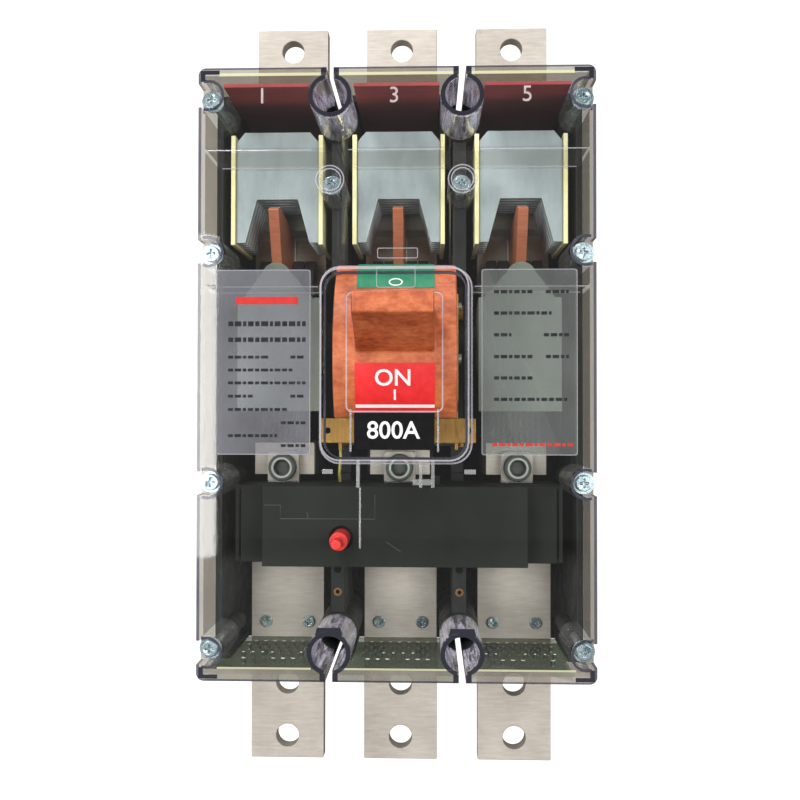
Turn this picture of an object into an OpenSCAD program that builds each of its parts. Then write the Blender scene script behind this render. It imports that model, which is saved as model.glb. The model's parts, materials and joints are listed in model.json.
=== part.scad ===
// Three-pole molded case circuit breaker with a clear front cover, on its panel mounting face.
// Every part is drawn in a plan frame: X across the poles, Y towards the line terminals,
// Z from the mounting face towards the operator. stand() then turns it upright.

/* [Housing] */
// Width across the three poles
body_w = 210; // [208:1:214]
// Length between the two end walls
body_l = 324; // [323:0.5:326]
// Depth from the mounting face to the front of the clear cover
body_d = 140; // [138:0.5:144]
// Depth of the black base, up to the joint with the clear cover
base_d = 97; // [97:0.5:98]
// Wall thickness of the base
wall = 4; // [3.5:0.5:4]
// Wall thickness of the clear cover
skin = 3; // [2.5:0.5:3]
// Thickness of the base floor
floor_t = 6; // [5:0.5:8]
// Distance between neighbouring poles
pole_pitch = 70; // [70:1:72]

/* [Mounting] */
// Distance between mounting holes across the body
mount_x = 70; // [70:1:72]
// Distance between mounting holes along the body
mount_y = 294; // [292:1:296]
// Radius of a mounting hole
mount_r = 3.5; // [3:0.25:4]
// Radius of a mounting well
well_r = 9; // [8:0.5:9.5]

/* [Terminals] */
// Width of a terminal bar
bar_w = 45; // [40:1:46]
// Thickness of a terminal bar
bar_t = 10; // [8:0.5:10]
// Radius of a terminal bolt hole
bolt_r = 7; // [5.5:0.25:7.5]
// Distance between the two holes of one terminal bar
hole_gap = 32.7; // [30:0.1:34]
// Distance from the centre to the outer hole of a line bar
line_hole_y = 211.7; // [208:0.1:215]
// Distance from the centre to the outer hole of a load bar
load_hole_y = 220.7; // [218:0.1:224]
// Height of the front face of a line bar
line_z = 35; // [35:0.5:36]
// Height of the front face of a load bar
load_z = 51.5; // [51:0.5:51.5]

/* [Handle] */
// Outer radius of the curved handle shield
shield_r = 58; // [57:0.5:58]
// Width of the handle shield
shield_w = 64; // [58:1:64]
// Width of the handle grip
grip_w = 40; // [34:1:42]
// Height of the tip of the grip
grip_z = 185; // [180:1:190]

/* [Arc chute] */
// Number of arc splitter plates in one chute
plate_count = 7; // [4:1:7]
// Distance between two arc splitter plates
plate_pitch = 6.5; // [6:0.25:6.5]
// Thickness of an arc splitter plate
plate_t = 2; // [1:0.25:2.5]

/* [Hidden] */
$fn = 48;
eps = 0.5;
half_w = body_w / 2;
half_l = body_l / 2;
in_x = half_w - wall;
in_y = half_l - wall;
POLES = [-pole_pitch, 0, pole_pitch];
SIDES = [-1, 1];
divider_x = pole_pitch / 2;
divider_half = 4;
well_out_r = well_r + 2.5;
slot_half = 1.85;
slot_wall = 3;
well_floor = 12;
corner_r = 4;
column_half = 12;
column_y = 135;
gate_half = 8.5;

side_screw_x = half_w - 5.4;
SIDE_SCREW_Y = [147.4, 64.4, -58.2, -147.2];
mid_screw_y = 102.3;
side_head_z = 129.5;
mid_head_z = 126.5;
screw_r = 2;
screw_head_r = 4.25;
screw_head_h = 3.5;

handle_at = [10, 97];
rotor_at = [25, 62];
cradle_at = [40, 96];
latch_at = [-38, 80];
link_at = [0, 94];
lug_at = [39, 68];
link_span = norm(lug_at - link_at);
knee_off = 6;
link_dir = (lug_at - link_at) / link_span;
knee_at = (link_at + lug_at) / 2 + knee_off * [-link_dir[1], link_dir[0]];
crossbar_r = 8.5;
mech_top = 48;
trip_z = 52.5;
case_x = 93.5;
case_y = [-106, -62.5];
block_top = 115;
button_at = [-31, -90];
button_head_r = 5;
trip_bar_at = [-70, 76];
armature_at = [-76.8, 85];
connector_y = -53.5;
box_top = 160;
box_taper = 2.6;
opening_half = 24.5;
OPENING_Y = [-20.5, 40];
skirt_half = 25.8;
side_column_r = 8.5;
side_pocket_r = 6.2;
mid_column_r = 7.5;
mid_pocket_r = 5.5;
plate_top_z = 96;
chute_half = 24;
board_t = 2.5;

// Turns the plan frame upright: the line terminals up, the front towards -Y
module stand() {
    rotate([90, 0, 0])
    children();
}

// Box between three pairs of limits
module span(x, y, z) {
    translate([x[0], y[0], z[0]])
    cube([x[1] - x[0], y[1] - y[0], z[1] - z[0]]);
}

// Round bar along Z from z0 to z1
module post(at, r, z0, z1) {
    translate([at[0], at[1], z0])
    cylinder(r = r, h = z1 - z0);
}

// Side outline in Y and Z, spread evenly over the width w about x
module across(w, x = 0) {
    translate([x, 0, 0])
    rotate([90, 0, 90])
    linear_extrude(w, center = true)
    children();
}

// Round bar along X between two limits, at a point in Y and Z
module axle(at, r, x) {
    translate([x[0], at[0], at[1]])
    rotate([0, 90, 0])
    cylinder(r = r, h = x[1] - x[0]);
}

// Flat link outline with round ends
module link_shape(a, b, w) {
    gap = b - a;
    translate(a)
    circle(d = w);
    translate(b)
    circle(d = w);
    translate(a)
    rotate(atan2(gap[1], gap[0]))
    translate([0, -w / 2])
    square([norm(gap), w]);
}

// Ring sector between two radii and two angles, measured from +Z towards +Y, about the handle axis
module sector(r0, r1, a0, a1) {
    steps = 12;
    outer = [for (i = [0:steps]) a0 + (a1 - a0) * i / steps];
    far = [for (a = outer) 2 * r1 * [sin(a), cos(a)]];
    translate(handle_at)
    intersection() {
        difference() {
            circle(r = r1, $fn = 96);
            circle(r = r0, $fn = 96);
        }
        polygon(concat([[0, 0]], far));
    }
}

// Block with round vertical edges
module rounded_block(w, l, r, z0, z1) {
    span([-w / 2 + r, w / 2 - r], [-l / 2, l / 2], [z0, z1]);
    span([-w / 2, w / 2], [-l / 2 + r, l / 2 - r], [z0, z1]);
    for (sx = SIDES, sy = SIDES)
        post([sx * (w / 2 - r), sy * (l / 2 - r)], r, z0, z1);
}

module at_wells() {
    for (sx = SIDES, sy = SIDES)
        translate([sx * mount_x / 2, sy * mount_y / 2, 0])
        children();
}

module at_side_screws() {
    for (sx = SIDES, y = SIDE_SCREW_Y)
        translate([sx * side_screw_x, y, 0])
        children();
}

module at_mid_screws() {
    for (sx = SIDES)
        translate([sx * divider_x, mid_screw_y, 0])
        children();
}

// Columns that hold the four mounting wells, with a narrower gate through the end wall
module well_columns() {
    tall = [-eps, body_d + eps];
    for (sx = SIDES, sy = SIDES)
        translate([sx * mount_x / 2, 0, 0]) {
            span([-column_half, column_half], sy > 0 ? [column_y, in_y] : [-in_y, -column_y], tall);
            span([-gate_half, gate_half], sy > 0 ? [in_y - eps, half_l + eps] : [-half_l - eps, eps - in_y], tall);
        }
}

// Barrier slots from the mounting wells out through the end walls
module barrier_slots(half, inner, outer, z) {
    for (sx = SIDES, sy = SIDES)
        translate([sx * mount_x / 2, 0, 0])
        span([-half, half], sy > 0 ? [inner, outer] : [-outer, -inner], z);
}

module base_dividers() {
    for (sx = SIDES)
        translate([sx * divider_x, 0, 0]) {
            span([-divider_half, divider_half], [58, in_y], [0, base_d - 5]);
            span([-divider_half, divider_half], [-58, 58], [0, mech_top]);
            span([-divider_half, divider_half], [-108, -58], [0, trip_z]);
            span([-divider_half, divider_half], [-in_y, -108], [0, base_d - 5]);
        }
}

module base_supports() {
    for (x = POLES) {
        span([x - 18, x + 18], [60, 100], [0, line_z - bar_t]);
        span([x - 20, x + 20], [-58, -38], [0, 60]);
        span([x - 15, x + 15], [-100, -70], [0, load_z - bar_t]);
        span([x - 18, x + 18], [-156, -140], [0, load_z - bar_t]);
    }
    for (sx = SIDES)
        span(sx > 0 ? [96, in_x + eps] : [-in_x - eps, -96], [rotor_at[0] - 10, rotor_at[0] + 10], [0, 72]);
}

// Complete base moulding: tray, dividers, supports, wells and screw bosses
module base_moulding() {
    difference() {
        union() {
            difference() {
                rounded_block(body_w, body_l, corner_r, 0, base_d);
                span([-in_x, in_x], [-in_y, in_y], [floor_t, base_d + eps]);
            }
            base_dividers();
            base_supports();
            at_wells() post([0, 0], well_out_r, 0, base_d);
            at_side_screws() post([0, 0], 5.4, 60, base_d);
            at_mid_screws() post([0, 0], 6, 0, base_d);
            barrier_slots(slot_half + slot_wall, mount_y / 2, half_l - eps, [0, base_d]);
        }
        at_wells() post([0, 0], mount_r, -eps, well_floor + eps);
        at_wells() post([0, 0], well_r, well_floor, base_d + eps);
        barrier_slots(slot_half, mount_y / 2, half_l + eps, [well_floor, base_d + eps]);
        at_side_screws() post([0, 0], screw_r + 0.05, 70, base_d + eps);
        at_mid_screws() post([0, 0], screw_r + 0.05, 70, base_d + eps);
        for (x = POLES) {
            span([x - 22.8, x + 22.8], [in_y - eps, half_l + eps], [line_z - bar_t - 0.2, line_z + 0.2]);
            span([x - 26, x + 26], [-half_l - eps, eps - in_y], [load_z - bar_t - 0.2, base_d + eps]);
            post([x, connector_y], 3.05, 28, 61);
            for (sx = SIDES)
                post([x + sx * 13, -150], screw_r + 0.05, 28, load_z);
        }
        axle(rotor_at, 5.05, [-in_x + 0.2, in_x - 0.2]);
    }
}

module base_housing() {
    color("#2b2d2c")
    stand()
    difference() {
        base_moulding();
        well_columns();
    }
}

module base_wells() {
    color("#2b2d2c")
    stand()
    intersection() {
        base_moulding();
        well_columns();
    }
}

// Frame with tapered sides and round corners for the raised handle window
module window_box(grow, z0, z1) {
    half = 38;
    y_low = -45.6;
    y_high = 53.4;
    r = 10;
    hull()
    for (x = [r - half, half - r], y = [y_low + r, y_high - r])
        translate([x, y, z0])
        cylinder(r1 = r + grow + box_taper, r2 = r + grow, h = z1 - z0, $fn = 32);
}

module cover_ribs() {
    under = body_d - skin;
    span([-half_w + skin, half_w - skin], [117.8, 120.2], [100, under + eps]);
    for (sx = SIDES) {
        span(sx > 0 ? [41, half_w - skin] : [skin - half_w, -41], [44.8, 47.2], [112, under + eps]);
        span([sx * 30 - 1.2, sx * 30 + 1.2], [62, column_y + 3], [100, under + eps]);
    }
}

// Complete cover moulding with the handle window, the wells and the screw columns
module cover_moulding() {
    difference() {
        union() {
            difference() {
                rounded_block(body_w, body_l, corner_r, base_d, body_d);
                span([skin - half_w, half_w - skin], [skin - half_l, half_l - skin], [base_d - eps, body_d - skin]);
            }
            window_box(0, body_d - skin, box_top);
            cover_ribs();
            at_wells() post([0, 0], well_out_r, base_d, body_d);
            barrier_slots(slot_half + slot_wall, mount_y / 2, half_l - eps, [base_d, body_d]);
            intersection() {
                at_side_screws() post([0, 0], side_column_r, base_d, body_d);
                rounded_block(body_w, body_l, corner_r, base_d, body_d);
            }
            at_mid_screws() post([0, 0], mid_column_r, base_d, body_d);
            for (x = POLES)
                span([x - skirt_half, x + skirt_half], [-half_l, skin - half_l], [54, base_d + eps]);
        }
        window_box(-box_taper, body_d - skin - eps, box_top - skin);
        span([-opening_half, opening_half], OPENING_Y, [box_top - skin - eps, box_top + eps]);
        at_wells() post([0, 0], well_r, base_d - eps, body_d + eps);
        barrier_slots(slot_half, mount_y / 2, half_l + eps, [base_d - eps, body_d + eps]);
        at_side_screws() post([0, 0], side_pocket_r, side_head_z, body_d + eps);
        for (sx = SIDES, y = SIDE_SCREW_Y)
            span(sx > 0 ? [side_screw_x, half_w + eps] : [-half_w - eps, -side_screw_x],
                [y - side_pocket_r, y + side_pocket_r], [side_head_z, body_d + eps]);
        at_side_screws() post([0, 0], screw_r + 0.2, base_d - eps, body_d);
        at_mid_screws() post([0, 0], mid_pocket_r, mid_head_z, body_d + eps);
        at_mid_screws() post([0, 0], screw_r + 0.2, base_d - eps, body_d);
        post(button_at, 3.4, body_d - skin - eps, body_d + eps);
    }
}

module clear_cover() {
    color("#cfd8dc", 0.35)
    stand()
    difference() {
        cover_moulding();
        well_columns();
    }
}

module cover_wells() {
    color("#cfd8dc", 0.35)
    stand()
    intersection() {
        cover_moulding();
        well_columns();
    }
}

// Cross-recessed pan head screw standing on its head seat at z
module pan_screw(r, head_r, head_h, length, z) {
    difference() {
        union() {
            post([0, 0], r, z - length, z + eps);
            post([0, 0], head_r, z, z + head_h);
        }
        for (turn = [0, 90])
            rotate(turn)
            span([-head_r * 0.55, head_r * 0.55], [-0.5, 0.5], [z + head_h - 1.6, z + head_h + eps]);
    }
}

module cover_screws() {
    color("#9fb2b8")
    stand() {
        at_side_screws() pan_screw(screw_r, screw_head_r, screw_head_h, 53, side_head_z);
        at_mid_screws() pan_screw(screw_r, screw_head_r, screw_head_h, 50, mid_head_z);
    }
}

module line_terminal(x) {
    low = line_z - bar_t;
    color("#beb6aa")
    stand()
    difference() {
        across(bar_w, x)
        polygon([[56, low], [half_l + 63.6, low], [half_l + 63.6, line_z], [96, line_z],
            [90, 43], [56, 43]]);
        for (y = [line_hole_y, line_hole_y - hole_gap])
            post([x, y], bolt_r, low - eps, line_z + eps);
    }
}

module load_terminal(x) {
    low = load_z - bar_t;
    color("#beb6aa")
    stand()
    difference() {
        span([x - bar_w / 2, x + bar_w / 2], [-half_l - 72.4, -66], [low, load_z]);
        for (y = [load_hole_y, load_hole_y - hole_gap])
            post([x, -y], bolt_r, low - eps, load_z + eps);
        for (sx = SIDES)
            post([x + sx * 13, -150], screw_r + 0.3, low - eps, load_z + eps);
    }
}

module load_bar_screws() {
    color("#8d9490")
    stand()
    for (x = POLES, sx = SIDES)
        translate([x + sx * 13, -150, 0])
        pan_screw(screw_r, 3.6, 2, 20, load_z);
}

// Splitter plate outline: chamfered corners at the end wall and a tapering notch for the fingers
module plate_shape() {
    half = chute_half - 0.1;
    polygon([
        [-half, 77], [-18.5, 77], [-11.75, 102], [11.75, 102], [18.5, 77], [half, 77],
        [half, 135], [half - 5, 141], [5 - half, 141], [-half, 135]
    ]);
}

module arc_plates(x) {
    color("#8f9997")
    stand()
    for (i = [0:plate_count - 1])
        translate([x, 0, plate_top_z - plate_t - i * plate_pitch])
        linear_extrude(plate_t)
        plate_shape();
}

module arc_boards(x) {
    color("#ece4a8")
    stand()
    for (sx = SIDES)
        span(sx > 0 ? [x + chute_half, x + chute_half + board_t] : [x - chute_half - board_t, x - chute_half],
            [75.6, 138.8], [45, 98]);
}

module arc_baffle(x) {
    color("#733a3a")
    stand()
    span([x - 23, x + 23], [153.5, 155.5], [line_z + 1.5, body_d - 5.5]);
}

module fixed_contacts() {
    color("#d8d8d4")
    stand()
    for (x = POLES) {
        span([x - 17, x + 17], [59, 72], [43, 47.9]);
        span([x - 4, x + 4], [74, 88], [43, 47.9]);
    }
}

module crossbar() {
    ear_x = 20.75;
    color("#26282a")
    stand()
    difference() {
        union() {
            axle(rotor_at, crossbar_r, [-95, 95]);
            axle(rotor_at, 5, [-100.5, 100.5]);
            for (sx = SIDES)
                across(2.5, sx * ear_x)
                link_shape(rotor_at, lug_at, 11);
            axle(lug_at, 2, [-25, 25]);
            for (sx = SIDES)
                across(2.5, sx * ear_x)
                translate(rotor_at)
                circle(r = 12);
        }
        axle(lug_at, 3, [-19.4, 19.4]);
    }
}

// One main contact finger, and the taller arcing finger in the middle of each pole
module main_finger_shape() {
    polygon([[25, 50], [58, 48], [73, 48], [73, 56], [60, 66], [25, 75]]);
}

module arcing_finger_shape() {
    polygon([[25, 50], [70, 48], [88, 48], [92, 62], [96, 104], [93.6, 110], [66, 97], [45, 78], [25, 73]]);
}

module contact_fingers(x) {
    finger_w = 6;
    finger_gap = 1;
    color("#c8784f")
    stand()
    difference() {
        union() {
            for (i = [-2, -1, 1, 2])
                across(finger_w, x + i * (finger_w + finger_gap))
                main_finger_shape();
            across(finger_w, x)
            arcing_finger_shape();
            for (i = [-2:2])
                across(finger_w, x + i * (finger_w + finger_gap))
                translate(rotor_at)
                circle(r = 13);
        }
        axle(rotor_at, crossbar_r + 0.05, [x - 20, x + 20]);
    }
}

// Moulded cover over the fingers of an outer pole, with an arched nose
module finger_cover(x) {
    low = 88;
    high = 91;
    front_y = 46;
    nose_y = 65;
    nose_r = 9;
    color("#9aa3a0")
    stand()
    difference() {
        union() {
            span([x - 24, x + 24], [-20, front_y], [low, high]);
            intersection() {
                across(44, x)
                polygon([[front_y - 1, low], [nose_y, 98], [nose_y, 100.5], [front_y - 1, high]]);
                translate([x, 0, low])
                linear_extrude(16) {
                    translate([0, nose_y - nose_r])
                    circle(r = nose_r);
                    polygon([[-21, front_y - 1], [-nose_r, nose_y - 6], [nose_r, nose_y - 6], [21, front_y - 1]]);
                }
            }
            for (sx = SIDES)
                across(3, x + sx * 22.5)
                polygon([[8, 58], [42, 58], [front_y, 90], [0, 90]]);
        }
        axle(rotor_at, crossbar_r + 0.05, [x - 30, x + 30]);
    }
}

module flexible_braids() {
    color("#b87a4e")
    stand()
    for (x = POLES)
        difference() {
            union() {
                across(30, x)
                polygon([[11.5, 56], [11.5, 60], [0, 58], [-20, 60], [-38.5, 65], [-38.5, 62], [-20, 56.5], [0, 54]]);
                span([x - 18, x + 18], [-58, -38], [60, 66]);
            }
            post([x, connector_y], 3.2, 59, 67);
        }
}

module connector_screws() {
    seat = 70;
    color("#7d827f")
    stand()
    for (x = POLES)
        translate([x, connector_y, 0])
        difference() {
            union() {
                post([0, 0], 3, 30, seat + eps);
                post([0, 0], 8, seat, seat + 8);
            }
            translate([0, 0, seat + 3.5])
            cylinder(r = 4.6, h = 5, $fn = 6);
        }
}

module heater(x) {
    color("#c9c2b2")
    stand()
    difference() {
        across(19, x)
        polygon([[-44, 66], [-44, 70], [-102.5, 70], [-102.5, load_z], [-98.5, load_z], [-98.5, 66]]);
        post([x, connector_y], 3.2, 65, 71);
    }
}

module bimetals() {
    color("#a9a08c")
    stand()
    for (x = POLES)
        span([x - 5, x + 5], [-97, -95.5], [70, 93]);
}

module magnet_yoke(x) {
    floor_z = 55;
    color("#5d6468")
    stand()
    difference() {
        union() {
            span([x - 15, x + 15], [-92, -74], [floor_z, floor_z + 5]);
            for (sx = SIDES)
                across(4, x + sx * 13)
                polygon([[-92, floor_z], [-74, floor_z], [-74, 80], [-73.5, 80], [-73.5, 89], [-80, 89],
                    [-80, 80], [-92, 80]]);
        }
        axle(armature_at, 1.56, [x - 16, x + 16]);
    }
}

module armature(x) {
    color("#70777a")
    stand() {
        axle(armature_at, 1.5, [x - 15, x + 15]);
        span([x - 10.5, x + 10.5], [-92, armature_at[0]], [83.8, 86.2]);
        span([x - 15, x + 15], [-92, -82], [83.8, 86.2]);
    }
}

module trip_case() {
    t = 2.5;
    color("#303332")
    stand()
    difference() {
        span([-case_x, case_x], case_y, [trip_z, base_d]);
        span([t - case_x, case_x - t], [case_y[0] + t, case_y[1] - t], [trip_z + t, base_d + eps]);
        for (x = POLES) {
            span([x - 10, x + 10], [case_y[1] - t - eps, case_y[1] + eps], [65.5, 70.5]);
            span([x - 10, x + 10], [-103, -98], [trip_z - eps, trip_z + t + eps]);
        }
        span([17, 25], [case_y[1] - t - eps, case_y[1] + eps], [72, 86]);
        axle(trip_bar_at, 3.06, [-case_x - eps, case_x + eps]);
    }
}

module trip_cover() {
    guide_z = 99.5;
    color("#343736")
    stand()
    difference() {
        union() {
            span([-75, 72], [case_y[0], -61.5], [base_d, block_top]);
            span([-90, 90], [case_y[0], case_y[1]], [base_d, guide_z]);
        }
        span([-72.5, 69.5], [case_y[0] + 2.5, -64], [guide_z, block_top - 2.5]);
        post(button_at, 6.5, guide_z, block_top + eps);
        post(button_at, 3.1, base_d - eps, block_top);
    }
}

module trip_bar() {
    color("#1f2122")
    stand() {
        axle(trip_bar_at, 3, [-93, 93]);
        for (x = POLES)
            span([x - 3, x + 3], [-71.5, -69.5], [76, 92]);
        span([-34, -28], [-93, -70], [74.5, 78]);
        span([18, 24], [-70, -58], [75, 77.5]);
    }
}

module trip_button() {
    color("#d8362f")
    stand() {
        post(button_at, 3, 78.4, 109);
        post(button_at, button_head_r, 108, 130);
        post(button_at, 2.7, 129, 143);
    }
}

module trip_button_spring() {
    color("#b8bdbf")
    stand()
    difference() {
        post(button_at, 4.6, 99.6, 107.9);
        post(button_at, 3.4, 99, 108.5);
    }
}

module mechanism_frame() {
    plate_x = 33;
    color("#c9b25a")
    stand()
    difference() {
        union() {
            for (sx = SIDES) {
                across(2, sx * plate_x)
                polygon([[-42, mech_top], [46, mech_top], [46, 106], [-14, 106], [-20, 100], [-42, 100]]);
                for (y = [[-42, -31], [37, 46]])
                    span(sx > 0 ? [plate_x - 1, 39] : [-39, 1 - plate_x], y, [mech_top, mech_top + 2]);
            }
        }
        axle(rotor_at, 12.6, [-36, 36]);
        span([-36, 36], [rotor_at[0] - 12.6, rotor_at[0] + 12.6], [mech_top - eps, rotor_at[1]]);
        span([-36, 36], [-28, rotor_at[0]], [mech_top - eps, 58]);
        axle(handle_at, 3.05, [-36, 36]);
        axle(cradle_at, 2.55, [-36, 36]);
        axle(latch_at, 2.55, [-36, 36]);
    }
}

module mechanism_bridge() {
    color("#c79a35")
    stand()
    difference() {
        span([-44, 44], [-38, -24], [100, 102]);
        for (sx = SIDES)
            post([sx * 40, -31], 1.7, 99, 103);
    }
}

// Fixed pins: handle stub pins, cradle pin, latch pin and the upper link pin in the cradle
module mechanism_pins() {
    color("#b9bdbb")
    stand() {
        for (sx = SIDES)
            axle(handle_at, 3, sx > 0 ? [26.5, 36] : [-36, -26.5]);
        axle(cradle_at, 2.5, [-36, 36]);
        axle(latch_at, 2.5, [-36, 36]);
        axle(link_at, 2, [-22.4, 22.4]);
    }
}

module cradle() {
    arm_x = 18;
    color("#8f9497")
    stand()
    difference() {
        union() {
            for (sx = SIDES)
                across(2, sx * arm_x)
                polygon([
                    [-30.5, 90], [-27, 88.5], [0, 89.5], [5, 92], [13, 99], [31, 99], [36, 92], [44, 91],
                    [45, 100], [34, 107], [10, 107], [-2, 98.5], [-27, 95.4], [-30.5, 94.5]
                ]);
            span([-18, 18], [-30, -26], [90.2, 93.9]);
        }
        axle(cradle_at, 2.55, [-20, 20]);
        axle(link_at, 2.05, [-20, 20]);
    }
}

module latch() {
    color("#a7abad")
    stand()
    difference() {
        across(24)
        polygon([[-42, 76], [-34, 76], [-34, 94.5], [-27, 94.5], [-27, 96.5], [-42, 96.5]]);
        axle(latch_at, 2.55, [-13, 13]);
    }
}

module upper_links() {
    color("#a7abad")
    stand()
    difference() {
        for (sx = SIDES)
            across(2, sx * 20.8)
            link_shape(link_at, knee_at, 8);
        axle(link_at, 2.05, [-23, 23]);
        axle(knee_at, 2.05, [-23, 23]);
    }
}

module knee_pin() {
    color("#b9bdbb")
    stand()
    axle(knee_at, 2, [-25.5, 25.5]);
}

module lower_links() {
    color("#a7abad")
    stand()
    difference() {
        for (sx = SIDES)
            across(2, sx * 23.6)
            link_shape(lug_at, knee_at, 9);
        axle(lug_at, 2.05, [-26, 26]);
        axle(knee_at, 2.6, [-26, 26]);
    }
}

// Two tension springs from the knee pin up to the web of the handle yoke
module main_springs() {
    top = handle_at + 51.3 * [sin(5), cos(5)];
    bottom = knee_at + [-0.4, 2.4];
    reach = top - bottom;
    color("#b8bdbf")
    stand()
    for (sx = SIDES)
        translate([sx * 12, bottom[0], bottom[1]])
        rotate([-atan2(reach[0], reach[1]), 0, 0])
        difference() {
            translate([0, 0, 1])
            cylinder(r = 4.5, h = norm(reach) - 2);
            cylinder(r = 3, h = norm(reach));
        }
}

module handle() {
    color("#cd7347")
    stand() {
        across(shield_w)
        sector(shield_r - 3.5, shield_r, -36, 57.7);
        across(grip_w)
        difference() {
            polygon([[8, 150], [12.8, 160], [27.2, grip_z], [37.7, grip_z], [34, 158], [32.5, 148]]);
            translate(handle_at)
            circle(r = shield_r - 1, $fn = 96);
        }
    }
}

module handle_yoke() {
    arm_x = 28.25;
    color("#9ba0a2")
    stand()
    difference() {
        union() {
            across(59)
            sector(51.5, shield_r - 3.6, -12, 28);
            for (sx = SIDES)
                across(2.5, sx * arm_x) {
                    translate(handle_at)
                    circle(r = 8);
                    sector(0, 52.5, -8, 24);
                }
        }
        axle(handle_at, 3.05, [-31, 31]);
    }
}

module on_label() {
    color("#eb3232")
    stand()
    across(grip_w + 1)
    sector(shield_r, shield_r + 0.35, -31.5, -5.3);
}

module off_label() {
    color("#14785a")
    stand()
    across(grip_w + 1)
    sector(shield_r, shield_r + 0.35, 36, 57.5);
}

module rating_label() {
    color("#161616")
    stand()
    span([-20.3, 20.3], [-39.6, -20.9], [box_top, box_top + 0.4]);
}

module info_plates() {
    color("#aab0b2", 0.6)
    stand()
    for (sx = SIDES)
        span(sx > 0 ? [45, 95] : [-95, -45], [-43, 54.5], [body_d, body_d + 0.4]);
}

base_housing();
base_wells();
clear_cover();
cover_wells();
cover_screws();
line_terminal(POLES[0]);  // line_terminal_left
line_terminal(POLES[1]);  // line_terminal_centre
line_terminal(POLES[2]);  // line_terminal_right
load_terminal(POLES[0]);  // load_terminal_left
load_terminal(POLES[1]);  // load_terminal_centre
load_terminal(POLES[2]);  // load_terminal_right
load_bar_screws();
arc_plates(POLES[0]);  // arc_plates_left
arc_plates(POLES[1]);  // arc_plates_centre
arc_plates(POLES[2]);  // arc_plates_right
arc_boards(POLES[0]);  // arc_boards_left
arc_boards(POLES[1]);  // arc_boards_centre
arc_boards(POLES[2]);  // arc_boards_right
arc_baffle(POLES[0]);  // arc_baffle_left
arc_baffle(POLES[1]);  // arc_baffle_centre
arc_baffle(POLES[2]);  // arc_baffle_right
fixed_contacts();
crossbar();
contact_fingers(POLES[0]);  // contact_fingers_left
contact_fingers(POLES[1]);  // contact_fingers_centre
contact_fingers(POLES[2]);  // contact_fingers_right
finger_cover(POLES[0]);  // finger_cover_left
finger_cover(POLES[2]);  // finger_cover_right
flexible_braids();
connector_screws();
heater(POLES[0]);  // heater_left
heater(POLES[1]);  // heater_centre
heater(POLES[2]);  // heater_right
bimetals();
magnet_yoke(POLES[0]);  // magnet_yoke_left
magnet_yoke(POLES[1]);  // magnet_yoke_centre
magnet_yoke(POLES[2]);  // magnet_yoke_right
armature(POLES[0]);  // armature_left
armature(POLES[1]);  // armature_centre
armature(POLES[2]);  // armature_right
trip_case();
trip_cover();
trip_bar();
trip_button();
trip_button_spring();
mechanism_frame();
mechanism_bridge();
mechanism_pins();
cradle();
latch();
upper_links();
knee_pin();
lower_links();
main_springs();
handle();
handle_yoke();
on_label();
off_label();
rating_label();
info_plates();
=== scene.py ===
"""Looks of a three-pole molded case circuit breaker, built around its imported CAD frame.

Pieces are drawn in the plan frame of the design, in millimetres: x across the poles, y towards the
line terminals and z from the mounting face to the operator. PLAN turns that into the row frame.
"""
import json
import math

import bmesh
import bpy
from mathutils import Matrix, Vector

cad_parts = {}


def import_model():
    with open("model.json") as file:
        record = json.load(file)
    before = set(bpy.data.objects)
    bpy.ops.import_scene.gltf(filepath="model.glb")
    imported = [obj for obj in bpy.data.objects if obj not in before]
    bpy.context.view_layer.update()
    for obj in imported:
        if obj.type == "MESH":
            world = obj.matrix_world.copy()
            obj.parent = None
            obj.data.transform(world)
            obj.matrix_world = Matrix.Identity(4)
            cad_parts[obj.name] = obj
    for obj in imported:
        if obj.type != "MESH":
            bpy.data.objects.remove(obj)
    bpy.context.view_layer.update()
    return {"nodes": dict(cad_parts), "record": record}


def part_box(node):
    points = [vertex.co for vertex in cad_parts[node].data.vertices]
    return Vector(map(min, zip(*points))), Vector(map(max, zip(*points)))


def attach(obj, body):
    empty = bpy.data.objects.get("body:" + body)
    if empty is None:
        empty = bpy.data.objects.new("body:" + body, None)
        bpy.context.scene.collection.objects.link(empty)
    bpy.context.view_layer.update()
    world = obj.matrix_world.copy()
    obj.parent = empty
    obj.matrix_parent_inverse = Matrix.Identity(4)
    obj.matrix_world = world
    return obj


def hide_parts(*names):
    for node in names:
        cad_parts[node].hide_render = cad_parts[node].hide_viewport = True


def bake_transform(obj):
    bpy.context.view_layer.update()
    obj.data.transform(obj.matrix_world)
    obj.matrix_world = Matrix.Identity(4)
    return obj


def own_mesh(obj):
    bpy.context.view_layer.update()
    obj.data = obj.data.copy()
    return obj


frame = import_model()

MM = 0.001
PLAN = Matrix(((1, 0, 0, 0), (0, 0, -1, 0), (0, 1, 0, 0), (0, 0, 0, 1))) @ Matrix.Scale(MM, 4)
TO_PLAN = PLAN.inverted()
SIDES = (-1, 1)
POLES = (-70, 0, 70)
POLE_NAMES = ("left", "centre", "right")
SHARP_DEG = 32
BODY_OF = {node: body for body, nodes in frame["record"]["behaviour"]["bodies"].items() for node in nodes}


# ---------------- places taken from the CAD frame

def plan_box(node):
    """Lowest and highest corner of a CAD node, in the plan frame."""
    low, high = (TO_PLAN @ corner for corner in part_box(node))
    return (Vector(map(min, low, high)), Vector(map(max, low, high)))


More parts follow.
